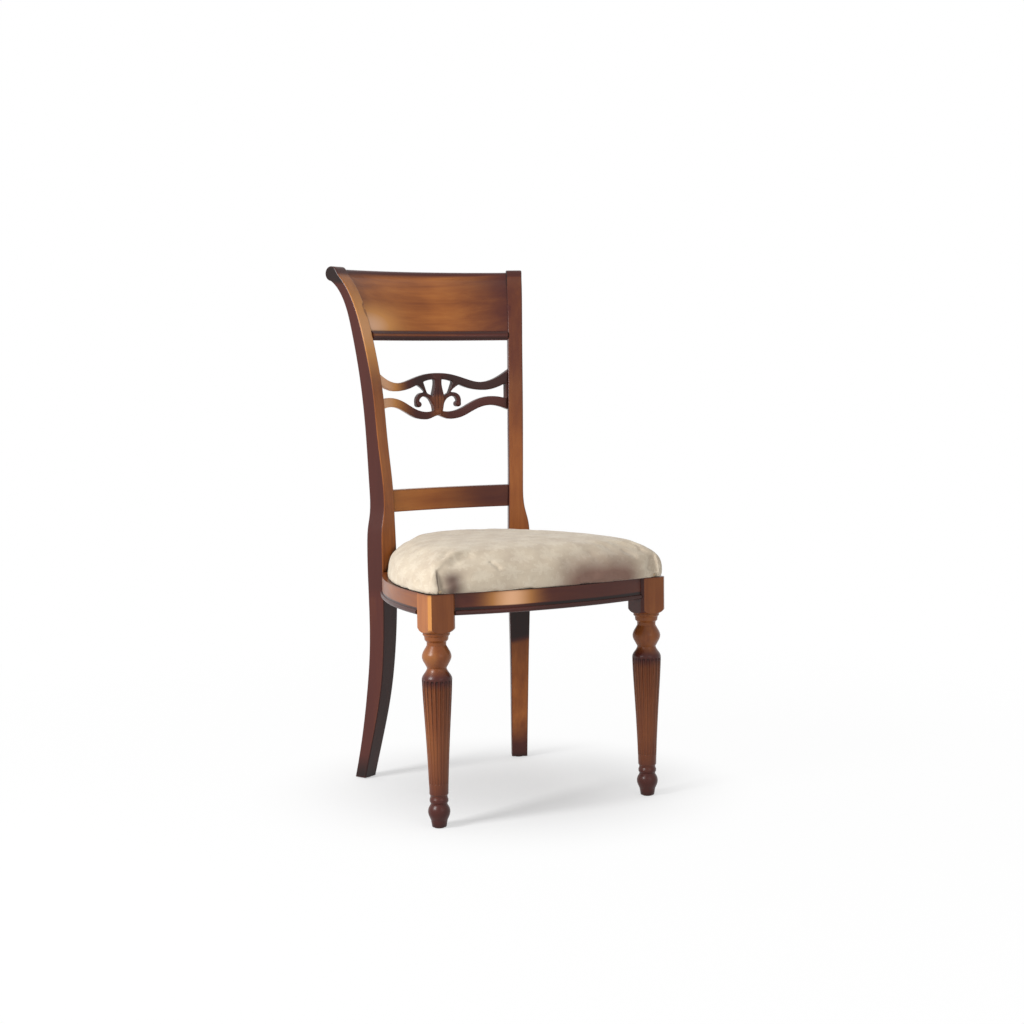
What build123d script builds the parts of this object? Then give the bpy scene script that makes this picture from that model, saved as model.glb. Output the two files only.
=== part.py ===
"""Upholstered dining chair with a scrolled, curved back and reeded front legs.

Millimetres, +Z up, +Y to the back of the chair, +X to the right of someone facing its front.
The pieces are set out from the floor, midway between the axes of the two front legs, and are moved
at the end so that the origin is the middle of the chair's footprint box, on the floor.
Left and right are those of someone facing the front of the chair.
"""

import os
from math import asin, degrees, pi, sin, sqrt

from build123d import *

# Front legs: a square block over a turned, fluted shaft
leg_half_spacing = 225.0
block_size = 54.0
block_corner_chamfer = 5.0
neck_radius = 17.6
ball_radius = 26.6
ball_height = 313.0
shaft_top = 270.0
shaft_top_radius = 27.5
shaft_bottom = 62.0
shaft_bottom_radius = 17.4
foot_ball_radius = 20.2
toe_radius = 13.2
flute_count = 20
flute_radius_top = 3.3
flute_radius_bottom = 2.1
flute_top = 268.0
flute_bottom = 82.0
flute_axis_top = 28.1
flute_axis_bottom = 19.2

# Rear posts, measured from a vertical axis that the curved back is struck from
back_axis_y = 47.0
back_radius = 368.0
post_toe_angle = 25.0
total_height = 1037.0
post_edge_round = 2.5

# Seat rails
rail_bottom = 387.0
rail_top = 427.0
rail_thickness = 22.0
front_rail_centre_y = -50.0
front_rail_bow_radius = 730.0
side_rail_front = (-249.0, 15.0)
side_rail_back = (-166.5, 354.0)
side_rail_bow = 24.0
back_rail_front_offset = -8.0
bead_height = 9.0
bead_proud = 3.5
front_bead_half_length = 197.7
side_bead_ends = (349.5, 27.4)
tenon_thickness = 9.0
seat_tenon_reach = -2.0
back_tenon_reach = -6.0
side_tenon_length = 9.0
rail_tenon_levels = (rail_bottom + 8, rail_top - 5)
dowel_radius = 4.0
dowel_length = 40.0
dowel_levels = (399.0, 416.0)
front_dowel_joint = (-198.0, -12.5, -13.0)
side_dowel_joint = (-239.0, 27.0, 91.0)

# Back pieces, set out by height and by distance behind the post's reference radius
crest_bottom = 888.0
crest_recess = 2.0
crest_front_at_bottom = 22.5
crest_thickness = 19.0
crest_bead_height = 19.0
crest_bead_step = 4.0
crest_bead_depth = 8.0
crest_below_posts = 5.0
crest_tenon_levels = (915.0, 960.0)
crest_tenon_offset = 42.0
splat_front_offset = 15.0
splat_thickness = 14.0
splat_relief = 3.0
splat_block_width = 12.0
splat_tenon_levels = (760.0, 806.0)
splat_tenon_inset = 3.0
splat_tenon_thickness = 8.0
lower_rail_bottom = 544.0
lower_rail_height = 44.0
lower_rail_thickness = 20.0
lower_rail_front_offset = -14.0
lower_rail_bow = 12.0
lower_tenon_inset = 6.0

# Seat pad: plywood board, foam, wadding and cover, standing on the rails
pad_bottom = rail_top
pad_crown = 80.0
pad_roundness = 4.6
pad_top_inset = 150.0
pad_side_bulge = 3.0
pad_bulge_height = 48.0
pad_tuck = 1.0
pad_front_y = -54.0
pad_front_bow_radius = 1195.0
pad_side_front = (-253.0, 5.0)
pad_side_back = (-152.0, 352.0)
pad_side_bow = 29.0
pad_back_y = 424.0
pad_back_bow_radius = 420.0
pad_front_corner_radius = 14.0
pad_back_corner_radius = 34.0
pad_front_corner_growth = 0.32
pad_levels = (0.0, 0.14, 0.3, 0.48, 0.64, 0.77, 0.87, 0.94, 0.98, 1.0)
pad_post_gap = 2.0
pad_post_front = -21.5
cover_thickness = 1.5
wadding_thickness = 6.0
board_thickness = 10.0
cover_wrap = 54.0
cover_wrap_at_posts = 34.0
dust_cover_thickness = 0.8
dust_cover_inset = 40.0
dust_cover_gap = 4.0
dust_cover_gap_at_posts = 24.0

# Fastenings and feet
corner_block_top = rail_top - 2
corner_block_height = 28.0
front_block_corner = (-222.0, -6.0)
front_block_reach = 92.0
rear_block_corner = (-148.0, 392.0)
rear_block_reach = 80.0
block_screw_share = 0.8
seat_screw_share = 0.385
screw_sink = 3.0
screw_radius = 2.2
screw_head_radius = 4.4
screw_head_height = 3.0
screw_pocket_depth = 25.0
corner_screw_length = 32.0
seat_screw_length = 38.0
staple_width = 10.0
staple_wire = 0.8
staple_depth = 6.0
staple_count = 30
staple_back_limit = 315.0
staple_middle_width = 85.0
staple_leg_gap = 8.0
glide_radius = 9.0
glide_thickness = 2.0
glide_nail_radius = 1.2
glide_nail_length = 12.0
foot_middle = 54.5

# Reach of the cutting shapes, beyond every piece
well_clear = 300.0

# Side view of a rear post: distance behind the reference radius, height
post_front_edge = [
    (42, 0), (15, 100), (-4.5, 183), (-15.5, 266), (-21, 380), (-21, 460), (-19, 540), (-16.5, 600),
    (-11.5, 645), (-5.5, 697), (4, 793), (19, 869), (41, 948), (67, 1000), (83, 1019),
]
post_back_edge = [
    (69, 0), (46, 100), (32, 183), (22, 266), (19, 347), (20, 450), (20.5, 545),
    (23, 612), (27.5, 710), (38, 809), (56.5, 909), (76, 972), (98, 1002), (106, 1008),
]
scroll_nose = (119, 1024)
scroll_top = (101, total_height)

# Front view of a rear post: distance outwards from its centre plane, height
post_outer_edge = [
    (18, 0), (18.5, 131), (20, 239), (22.5, 330), (24, 400), (24, 480), (21, 514), (14.5, 540),
    (11.6, 590), (13.8, 700), (16.2, 867), (19.3, 973), (22, total_height + 1),
]
post_inner_edge = [
    (-15, 0), (-17.2, 131), (-18.5, 239), (-20, 330), (-20, 500), (-18.2, 598), (-17.2, 700),
    (-14.3, 867), (-11.2, total_height + 1),
]
post_inner_at_seat = post_inner_edge[4][0]
post_front_at_seat = post_front_edge[4][0]

# Right half of the splat's two wavy bars, as top and bottom edges: distance from the middle, height
upper_bar_top = [
    (0, 821.5), (26, 819.5), (48, 814), (69, 807), (91, 802), (112, 804.5), (131, 813), (156, 831),
]
upper_bar_bottom = [
    (0, 808.5), (26, 806), (48, 797.5), (69, 789.5), (91, 785.5), (112, 786), (131, 792), (156, 806),
]
lower_bar_top = [
    (0, 744), (20, 742), (38, 743.5), (52, 748), (70, 757.5), (91, 767.5), (112, 772), (131, 771),
    (156, 762),
]
lower_bar_bottom = [
    (0, 734), (20, 727.5), (38, 727), (52, 730), (70, 738.5), (91, 749), (112, 753.5), (131, 751),
    (156, 740),
]


def closed_face(*edges):
    """Flat face inside edges that meet end to end."""
    return Face(Wire(list(edges)))


def mirrored(shape):
    """The same shape on the other side of the chair."""
    return mirror(shape, about=Plane.YZ)


def disc(x, y, radius):
    """Flat disc whose seam points away from the middle of the seat."""
    seam_turn = 0 if x >= 0 else 180
    return Pos(x, y, 0) * Rot(0, 0, seam_turn) * Circle(radius)


def prism(face, low, high):
    """Upright solid over a flat outline."""
    return Pos(0, 0, low) * extrude(face, amount=high - low)


def around_back(section, half_angle):
    """Sweep an upright section about the back's axis, by an angle each side of the middle."""
    start = Rot(0, 0, 90 - half_angle) * section
    return Pos(0, back_axis_y, 0) * revolve(start, Axis.Z, 2 * half_angle)


def ring_section(offset_low, offset_high, low, high):
    """Upright rectangle between two distances behind the reference radius."""
    width = offset_high - offset_low
    middle = back_radius + (offset_low + offset_high) / 2
    return Plane.XZ * Pos(middle, (low + high) / 2) * Rectangle(width, high - low)


def at_post(shape):
    """Move a shape from the right post's own frame (X outwards, Y back from the axis) to the chair."""
    return Pos(0, back_axis_y, 0) * Rot(0, 0, -post_toe_angle) * shape


def beyond_post_face():
    """All that lies outwards of the right post's inner face, as sawn in its front view."""
    inner = Spline(*[(n, 0, z) for n, z in post_inner_edge])
    outside = Polyline(inner @ 1, (well_clear, 0, total_height + 1), (well_clear, 0, 0), inner @ 0)
    region = closed_face(inner, *outside.edges())
    return at_post(extrude(region, amount=back_radius + well_clear, dir=(0, 1, 0)))


def between_posts(shape):
    """Trim a back piece to the inner faces of both posts."""
    return shape - outside_right - outside_left


def circle_through(start, end, bow):
    """Centre and radius of the arc from start to end that swells by bow to the left of the way."""
    dx = end[0] - start[0]
    dy = end[1] - start[1]
    chord = sqrt(dx * dx + dy * dy)
    radius = (chord * chord / 4 + bow * bow) / (2 * bow)
    away = radius - bow
    middle = ((start[0] + end[0]) / 2, (start[1] + end[1]) / 2)
    return middle[0] + away * dy / chord, middle[1] - away * dx / chord, radius


# Circles that the outer faces of the bowed rails lie on
front_arc = (0.0, front_rail_centre_y + front_rail_bow_radius, front_rail_bow_radius)
left_arc = circle_through(side_rail_front, side_rail_back, side_rail_bow)


def front_leg_blank():
    """Front leg on its own axis, without its flutes, turned from a profile of radius and height."""
    toe = Polyline((0, glide_thickness), (toe_radius, glide_thickness), (toe_radius + 2, 14), (18.3, 21))
    foot_ball = Spline(toe @ 1, (foot_ball_radius, 30.5), (15.6, 42))
    ring = Polyline(
        foot_ball @ 1, (15.2, 45), (17, 48), (17.2, 52), (15.6, 56), (15.6, 59),
        (shaft_bottom_radius, shaft_bottom))
    taper = Spline(ring @ 1, (19.6, 123), (23.7, 197), (27, 255), (shaft_top_radius, shaft_top))
    shoulder = Spline(taper @ 1, (24.9, 279), (19.1, 287.5), (neck_radius, 292))
    ball = Spline(shoulder @ 1, (20.3, 297), (ball_radius, ball_height), (20.5, 328), (neck_radius, 333))
    collar = Polyline(ball @ 1, (neck_radius, 339), (21.2, 343), (22.2, 350), (24.6, 352), (24.6, 356))
    cup = Spline(collar @ 1, (30, 359), (38, 371))
    core = Polyline(cup @ 1, (38, rail_top), (0, rail_top), (0, glide_thickness))
    outline = [toe, foot_ball, ring, taper, shoulder, ball, collar, cup, core]
    profile = closed_face(*[edge for curve in outline for edge in curve.edges()])
    turned = revolve(Plane.XZ * profile, Axis.Z, 360)
    block = Rectangle(block_size, block_size)
    block = chamfer(block.vertices(), block_corner_chamfer)
    return turned & prism(block, 0, rail_top)


def flute_cutters():
    """Tapered grooves around the shaft, rounded at the top and bottom."""
    length = flute_top - flute_bottom
    lean = flute_axis_top - flute_axis_bottom
    foot = Plane(origin=(flute_axis_bottom, 0, flute_bottom), z_dir=(lean, 0, length))
    cutter = Solid.make_cone(flute_radius_bottom, flute_radius_top, length, foot)
    cutter += Pos(flute_axis_top, 0, flute_top) * Sphere(flute_radius_top)
    cutter += Pos(flute_axis_bottom, 0, flute_bottom) * Sphere(flute_radius_bottom)
    return [Rot(0, 0, 360 * (i + 0.5) / flute_count) * cutter for i in range(flute_count)]


def post_blank():
    """Right rear post: the sawn side view crossed with the sawn front view."""
    front = Spline(*[(0, back_radius + t, z) for t, z in post_front_edge])
    back = Spline(*[(0, back_radius + t, z) for t, z in post_back_edge])
    foot = Line(front @ 0, back @ 0)
    nose = ThreePointArc(back @ 1, (0, back_radius + scroll_nose[0], scroll_nose[1]),
                         (0, back_radius + scroll_top[0], scroll_top[1]))
    brow = Spline(front @ 1, nose @ 1, tangents=[front % 1, (0, 1, 0)])
    side_view = closed_face(front, brow, nose, back, foot)
    sawn = extrude(side_view, amount=60, dir=(1, 0, 0), both=True)
    outer = Spline(*[(n, 0, z) for n, z in post_outer_edge])
    inner = Spline(*[(n, 0, z) for n, z in post_inner_edge])
    front_view = closed_face(outer, Line(outer @ 1, inner @ 1), inner, Line(inner @ 0, outer @ 0))
    shaped = sawn & extrude(front_view, amount=back_radius + 200, dir=(0, 1, 0))
    long_edges = shaped.edges().filter_by(lambda edge: edge.length > 30)
    shaped = fillet(long_edges, post_edge_round)
    lifted = Box(200, 1200, glide_thickness * 2)
    return shaped - lifted


def crest_section():
    """Section of the crest: the posts' sweep, a little behind and below them, rolled over at the top."""
    squeeze = 1 - crest_below_posts / (total_height - crest_bottom)

    def spot(offset, z):
        return back_radius + offset, 0, crest_bottom + (z - crest_bottom) * squeeze
    front_start = (crest_front_at_bottom, crest_bottom)
    front_points = [front_start] + [point for point in post_front_edge if point[1] > crest_bottom]
    front = Spline(*[spot(offset + crest_recess, z) for offset, z in front_points])
    back_start = (crest_front_at_bottom + crest_recess + crest_thickness, crest_bottom)
    back_points = [back_start, (52, 930), (69, 970), (94, 1003), (104, 1009)]
    back = Spline(*[spot(offset, z) for offset, z in back_points])
    nose = ThreePointArc(back @ 1, spot(*scroll_nose), spot(*scroll_top))
    brow = Spline(front @ 1, nose @ 1, tangents=[front % 1, (1, 0, 0)])
    return closed_face(front, brow, nose, back, Line(back @ 0, front @ 0))


def crest_bead_section():
    """Half-round moulding over a small step, let into the crest's lower front edge."""
    face_at = back_radius + crest_front_at_bottom + crest_recess
    back_at = face_at + crest_bead_depth
    fillet_at = face_at + 1.5
    top = crest_bottom + crest_bead_height
    step = crest_bottom + crest_bead_step
    nose = ThreePointArc((face_at - 1, 0, step), (face_at - 1.5, 0, step + 8), (face_at + 5, 0, top))
    rest = Polyline(
        nose @ 1, (back_at, 0, top), (back_at, 0, crest_bottom), (fillet_at, 0, crest_bottom),
        (fillet_at, 0, step), nose @ 0)
    return closed_face(nose, *rest.edges())


def wavy_bar(top, bottom):
    """Flat outline of one bar of the splat, from post to post."""
    def both_sides(points):
        return [(-x, z) for x, z in reversed(points[1:])] + list(points)
    upper = Spline(*both_sides(top))
    lower = Spline(*both_sides(bottom))
    return closed_face(upper, Line(upper @ 1, lower @ 1), lower, Line(lower @ 0, upper @ 0))


def volute():
    """Right-hand scroll that springs from the waist of the palmette and curls over to a ball."""
    outer = Spline((4, 764), (13, 774), (24, 780), (37, 781.5), (48, 775), (51.5, 766), (51, 758))
    inner = Spline((44.5, 757), (43.5, 766), (37, 773), (27, 772.5), (18, 766), (13, 757), (6, 748))
    curl = closed_face(outer, Line(outer @ 1, inner @ 0), inner, Line(inner @ 1, outer @ 0))
    return curl + Pos(45.2, 757.5) * Circle(6.2)


def palmette_leaf():
    """Right-hand leaf between the palmette's waist and the upper bar."""
    outer = Spline((18, 770), (26, 779), (33, 787), (42, 794), (56, 801))
    inner = Spline((38, 812), (32.5, 800), (28.5, 789), (23.5, 778.5), (14, 771))
    return closed_face(outer, Line(outer @ 1, inner @ 0), inner, Line(inner @ 1, outer @ 0))


def palmette_core():
    """Middle leaf, flared at the top, waisted and rounded at the foot."""
    right = Spline((9, 815), (7.2, 803), (9, 789), (12, 777), (12, 758), (9, 741))
    left = Spline((-9, 741), (-12, 758), (-12, 777), (-9, 789), (-7.2, 803), (-9, 815))
    foot = ThreePointArc(right @ 1, (0, 735), left @ 0)
    return closed_face(right, foot, left, Line(left @ 1, right @ 0))


def through_back(flat):
    """Solid that runs from the middle of the chair through its back over a front-view outline."""
    return extrude(Plane.XZ * flat, amount=700, dir=(0, 1, 0))


def carved_splat():
    """Openwork board cut from a curved blank, with the palmette standing a little proud."""
    flat = wavy_bar(upper_bar_top, upper_bar_bottom) + wavy_bar(lower_bar_top, lower_bar_bottom)
    low, high = splat_tenon_levels
    end_block = Pos(150.5, (low + high) / 2) * Rectangle(splat_block_width, high - low + 20)
    side = volute() + palmette_leaf() + end_block
    flat = flat + side + mirror(side, about=Plane.YZ) + palmette_core()
    blank = ring_section(splat_front_offset, splat_front_offset + splat_thickness, 700, 850)
    board = around_back(blank, post_toe_angle - 0.5) & through_back(flat)
    raised = ring_section(splat_front_offset - splat_relief, splat_front_offset + 1, 700, 850)
    heart = around_back(raised, 10) & through_back(palmette_core())
    return between_posts(board + heart)


def shell_tenon(front, back, low, high):
    """Pair of tenons at the ends of a curved back piece, as one thin curved board."""
    return around_back(ring_section(front, back, low, high), post_toe_angle + 1.0)


def only_in_posts(board, reach):
    """The ends of a thin board that lie inside the posts, up to a distance outwards from their middle."""
    far = at_post(between(reach, 2 * well_clear, -3 * well_clear, 3 * well_clear))
    kept = board - far - mirrored(far)
    return [kept & outside_left & post_left, kept & outside_right & post_right]


def pad_outline(inset):
    """Plan of the seat pad, drawn in all round: bowed front, sides and back, rounded corners."""
    x, y, radius = circle_through(pad_side_front, pad_side_back, pad_side_bow)
    outline = disc(0, pad_front_y + pad_front_bow_radius, pad_front_bow_radius - inset)
    outline &= disc(x, y, radius - inset)
    outline &= disc(-x, y, radius - inset)
    outline &= disc(0, pad_back_y - pad_back_bow_radius, pad_back_bow_radius - inset)
    outline = fillet(outline.vertices().sort_by(Axis.Y)[2:], pad_back_corner_radius)
    front_round = pad_front_corner_radius + pad_front_corner_growth * max(inset, 0)
    return fillet(outline.vertices().sort_by(Axis.Y)[:2], front_round)


def pad_body(skin, bottom):
    """Crowned pad, smaller all round by the thickness of the layers outside it."""
    crown = pad_crown - skin
    sections = []
    for level in pad_levels:
        height = level * crown
        swell = sin(pi * min(height / pad_bulge_height, 1))
        drawn_in = (pad_top_inset - skin) * (1 - sqrt(1 - level ** pad_roundness))
        inset = skin + pad_tuck * (1 - level) + drawn_in - pad_side_bulge * swell
        sections.append(Pos(0, 0, pad_bottom + height) * pad_outline(inset))
    body = loft(sections, ruled=True)
    return body - Box(1000, 1200, 2 * bottom)


def post_notch(gap):
    """Room that the pad's back corners leave for the posts."""
    front = back_radius + pad_post_front - gap
    inner = post_inner_at_seat - gap
    notch = at_post(between(inner, well_clear, front, front + well_clear))
    return notch + mirrored(notch)


def leg_notch(gap):
    """Room that the dust cover's front corners leave for the legs' blocks."""
    reach = block_size / 2 + gap
    notch = between(-leg_half_spacing - reach, reach - leg_half_spacing, -reach, reach)
    return notch + mirrored(notch)


def upright_rod(radius, height):
    """Round rod that stands on the origin."""
    return Cylinder(radius, height, align=(Align.CENTER, Align.CENTER, Align.MIN))


def wood_screw(length):
    """Countersunk screw lying along -Z from its head at the origin."""
    under_head = Plane(origin=(0, 0, -screw_head_height))
    head = Solid.make_cone(screw_radius, screw_head_radius, screw_head_height, under_head)
    shank = upright_rod(screw_radius, length - screw_head_height + 0.1)
    return head + Pos(0, 0, -length) * shank


def screw_pocket():
    """Counterbore over a sunk screw's head."""
    return upright_rod(screw_head_radius, screw_pocket_depth)


def staple():
    """Wire staple driven upwards, its crown at the bottom."""
    crown = Box(staple_width, staple_wire, staple_wire, align=(Align.CENTER, Align.CENTER, Align.MIN))
    leg = Box(staple_wire, staple_wire, staple_depth, align=(Align.CENTER, Align.CENTER, Align.MIN))
    side = staple_width / 2 - staple_wire / 2
    return crown + Pos(side, 0, 0) * leg + Pos(-side, 0, 0) * leg


def rail_band(arc, proud, thickness, low, high):
    """Bowed board with its outer face on the arc, or proud of it."""
    x, y, radius = arc
    return prism(disc(x, y, radius + proud) - disc(x, y, radius + proud - thickness), low, high)


def rail_bead(arc, start, end):
    """Half-round bead on a bowed rail's outer face, over a stretch of its circle in degrees."""
    x, y, radius = arc
    top = rail_bottom + bead_height
    middle = rail_bottom + bead_height / 2
    nose = ThreePointArc((radius, 0, rail_bottom), (radius + bead_proud, 0, middle), (radius, 0, top))
    section = closed_face(nose, Line(nose @ 1, nose @ 0))
    return Pos(x, y, 0) * revolve(Rot(0, 0, start) * section, Axis.Z, end - start)


def between(low_x, high_x, low_y, high_y):
    """Tall block over a rectangle of the floor, to keep one stretch of a band."""
    corner = Box(high_x - low_x, high_y - low_y, 2 * total_height, align=(Align.MIN, Align.MIN, Align.CENTER))
    return Pos(low_x, low_y, 0) * corner


def corner_block(x, y, reach):
    """Glue block that fills an inner corner of the seat frame."""
    side = reach * sqrt(2)
    diamond = Pos(x, y, 0) * Rot(0, 0, 45) * Rectangle(side, side)
    return prism(diamond, corner_block_top - corner_block_height, corner_block_top) & inside_frame


def foot_glide():
    """Nail-on glide under a foot."""
    return upright_rod(glide_radius, glide_thickness) + upright_rod(glide_nail_radius, glide_nail_length)


# Legs and posts before their joints are cut
leg_left = Pos(-leg_half_spacing, 0, 0) * (front_leg_blank() - flute_cutters())
leg_right = mirrored(leg_left)
post_right = at_post(post_blank())
post_left = mirrored(post_right)
outside_right = beyond_post_face()
outside_left = mirrored(outside_right)

# Seat rails and their beads, butted between the legs and tenoned into the posts
front_stretch = between(-leg_half_spacing, leg_half_spacing, -well_clear, block_size / 2)
side_stretch = between(-well_clear, -leg_half_spacing / 2, 0, pad_back_y)
rail_end = back_radius + post_front_at_seat
behind_post_face = at_post(between(-well_clear, well_clear, rail_end, rail_end + well_clear))
front_apron = rail_band(front_arc, 0, rail_thickness, rail_bottom, rail_top) & front_stretch
front_apron = front_apron - leg_left - leg_right
front_bead_turn = degrees(asin(front_bead_half_length / front_rail_bow_radius))
front_bead = rail_bead(front_arc, -90 - front_bead_turn, -90 + front_bead_turn)
side_bead_turns = [180 - degrees(asin((y - left_arc[1]) / left_arc[2])) for y in side_bead_ends]
side_bead_left = rail_bead(left_arc, *side_bead_turns)
side_band = rail_band(left_arc, 0, rail_thickness, rail_bottom, rail_top) & side_stretch
side_apron_left = side_band - leg_left - post_left - mirrored(behind_post_face)
tenon_inset = (rail_thickness - tenon_thickness) / 2
side_tenon_band = rail_band(left_arc, -tenon_inset, tenon_thickness, *rail_tenon_levels)
tenon_end = back_radius + post_front_at_seat + side_tenon_length
past_tenon = at_post(between(-well_clear, well_clear, tenon_end, tenon_end + well_clear))
side_tenon_left = ((side_tenon_band & side_stretch) - mirrored(past_tenon)) & post_left

back_rail_back = back_rail_front_offset + rail_thickness
back_band = ring_section(back_rail_front_offset, back_rail_back, rail_bottom, rail_top)
back_apron = between_posts(around_back(back_band, post_toe_angle))
back_tenon_front = back_rail_front_offset + tenon_inset
back_board = shell_tenon(back_tenon_front, back_tenon_front + tenon_thickness, *rail_tenon_levels)
back_tenons = only_in_posts(back_board, seat_tenon_reach)

# Crest, its bead, splat and lower rail, tenoned between the posts
crest_bead = between_posts(around_back(crest_bead_section(), post_toe_angle))
crest_face = crest_front_at_bottom + crest_recess
bead_top = crest_bottom + crest_bead_height
rebate = ring_section(crest_face - crest_thickness, crest_face + crest_bead_depth, crest_bottom - 1, bead_top)
crest = around_back(crest_section(), post_toe_angle) - around_back(rebate, post_toe_angle + 2)
crest = between_posts(crest)
crest_board = shell_tenon(crest_tenon_offset, crest_tenon_offset + tenon_thickness, *crest_tenon_levels)
crest_tenons = only_in_posts(crest_board, back_tenon_reach)
splat_tenon_front = splat_front_offset + splat_tenon_inset
splat_board = shell_tenon(splat_tenon_front, splat_tenon_front + splat_tenon_thickness, *splat_tenon_levels)
splat_tenons = only_in_posts(splat_board, back_tenon_reach)
splat = carved_splat()
lower_front = back_radius + lower_rail_front_offset
lower_face = at_post(Pos(post_inner_at_seat, lower_front, 0) * Vertex(0, 0, 0)).center()
lower_arc = circle_through((-lower_face.X, lower_face.Y), (lower_face.X, lower_face.Y), lower_rail_bow)
lower_rail_top = lower_rail_bottom + lower_rail_height
back_stretch = between(-back_radius / 2, back_radius / 2, well_clear, 2 * well_clear)
lower_band = rail_band(
    lower_arc, lower_rail_thickness, lower_rail_thickness, lower_rail_bottom, lower_rail_top)
lower_rail = between_posts(lower_band & back_stretch)
lower_tenon_band = rail_band(
    lower_arc, lower_rail_thickness - lower_tenon_inset, tenon_thickness,
    lower_rail_bottom + lower_tenon_inset, lower_rail_top - lower_tenon_inset)
lower_tenons = only_in_posts(lower_tenon_band & back_stretch, back_tenon_reach)

# Glue blocks in the corners of the seat frame
arc_x, arc_y, arc_radius = left_arc
inside_frame = disc(front_arc[0], front_arc[1], front_arc[2] - rail_thickness)
inside_frame &= disc(arc_x, arc_y, arc_radius - rail_thickness)
inside_frame &= disc(-arc_x, arc_y, arc_radius - rail_thickness)
inside_frame &= disc(0, back_axis_y, back_radius + back_rail_front_offset)
inside_frame = prism(inside_frame, 0, total_height)
block_front_left = corner_block(*front_block_corner, front_block_reach) - leg_left
block_rear_left = corner_block(*rear_block_corner, rear_block_reach) - post_left

# Screws of the glue blocks: level ones into both rails, and one up into the seat board
level = corner_block_top - corner_block_height / 2
base = corner_block_top - corner_block_height
screws_left = []
seat_screws_left = []
screw_pockets_left = []
block_corners = ((front_block_corner, front_block_reach, 1), (rear_block_corner, rear_block_reach, -1))
for corner, reach, way in block_corners:
    along = reach * block_screw_share
    mouth = reach - along - screw_sink
    to_end_rail = Pos(corner[0] + along, corner[1] + way * mouth, level) * Rot(-90 * way, 0, 0)
    to_side_rail = Pos(corner[0] + mouth, corner[1] + way * along, level) * Rot(0, 90, 0)
    for place in (to_end_rail, to_side_rail):
        screws_left.append(place * wood_screw(corner_screw_length))
        screw_pockets_left.append(place * screw_pocket())
    middle = reach * seat_screw_share
    upright = Pos(corner[0] + middle, corner[1] + way * middle, base) * Rot(180, 0, 0)
    seat_screws_left.append(upright * wood_screw(seat_screw_length))

# Dowels that peg the front and side rails to the front legs
dowels_left = []
for z in dowel_levels:
    for x, y, turn in (front_dowel_joint, side_dowel_joint):
        dowel = Rot(0, 90, 0) * Cylinder(dowel_radius, dowel_length)
        dowels_left.append(Pos(x, y, z) * Rot(0, 0, turn) * dowel)

# Glides under the four feet
front_glide = Pos(-leg_half_spacing, 0, 0) * foot_glide()
rear_glide = mirrored(at_post(Pos(0, back_radius + foot_middle, 0) * foot_glide()))
glides_left = [front_glide, rear_glide]

# Upholstery, from the board outwards
notch = post_notch(pad_post_gap)
pad_form = pad_body(0, pad_bottom) - notch
wadding_bottom = pad_bottom + cover_thickness
board_top = wadding_bottom + board_thickness
lining = cover_thickness + wadding_thickness
wadding_form = pad_body(cover_thickness, wadding_bottom) - post_notch(pad_post_gap + cover_thickness)
inner_notch = post_notch(pad_post_gap + lining)
foam = pad_body(lining, board_top) - inner_notch
board = prism(pad_outline(lining + pad_tuck), wadding_bottom, board_top) - inner_notch
wadding = wadding_form - foam - board
underside = prism(pad_outline(cover_wrap), 0, wadding_bottom) - post_notch(cover_wrap_at_posts)
cover = pad_form - wadding_form - underside
dust_cover = prism(pad_outline(dust_cover_inset), pad_bottom - dust_cover_thickness, pad_bottom)
dust_cover = dust_cover - post_notch(dust_cover_gap_at_posts) - leg_notch(dust_cover_gap)

# Staples through the edge of the dust cover and the cover's turned edge into the board
staples = []
staple_line = pad_outline((dust_cover_inset + cover_wrap) / 2).face().outer_wire()
leg_reach = block_size / 2 + staple_leg_gap
for i in range(staple_count):
    spot = staple_line.position_at((i + 0.5) / staple_count)
    way = staple_line.tangent_at((i + 0.5) / staple_count)
    clear_of_posts = spot.Y < staple_back_limit or abs(spot.X) < staple_middle_width
    clear_of_legs = spot.Y > leg_reach or abs(spot.X) < leg_half_spacing - leg_reach
    if clear_of_posts and clear_of_legs:
        turn = way.get_signed_angle(Vector(1, 0, 0), Vector(0, 0, -1))
        crown_level = pad_bottom - dust_cover_thickness - staple_wire
        staples.append(Pos(spot.X, spot.Y, crown_level) * Rot(0, 0, turn) * staple())


def all_of(shapes):
    """One shape out of several separate ones."""
    return Compound(children=[solid for shape in shapes for solid in shape.solids()])


def cut_by(shape, cutters):
    """Shape with its holes, mortises and pockets cut."""
    for cutter in cutters:
        shape = shape - cutter
    return shape


# Joints cut: tenons added to the rails, their mortises to the posts, holes for every fastening
left_tenons = [back_tenons[0], crest_tenons[0], splat_tenons[0], lower_tenons[0]]
mortises_left = [side_tenon_left, *left_tenons, rear_glide]
post_left = cut_by(post_left, mortises_left)
leg_left = cut_by(leg_left, dowels_left + [front_glide])
side_apron_left = cut_by(side_apron_left + side_tenon_left, dowels_left + screws_left)
front_apron = cut_by(front_apron, dowels_left + [mirrored(d) for d in dowels_left])
front_apron = cut_by(front_apron, screws_left + [mirrored(s) for s in screws_left])
back_apron = back_apron + back_tenons[0] + back_tenons[1]
back_apron = cut_by(back_apron, screws_left + [mirrored(s) for s in screws_left])
crest = crest + crest_tenons[0] + crest_tenons[1]
splat = splat + splat_tenons[0] + splat_tenons[1]
lower_rail = lower_rail + lower_tenons[0] + lower_tenons[1]
block_holes = screws_left + screw_pockets_left + seat_screws_left
block_front_left = cut_by(block_front_left, block_holes)
block_rear_left = cut_by(block_rear_left, block_holes)
seat_screws = seat_screws_left + [mirrored(s) for s in seat_screws_left]
board = cut_by(board, seat_screws + staples)
cover = cut_by(cover, staples + seat_screws)
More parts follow.
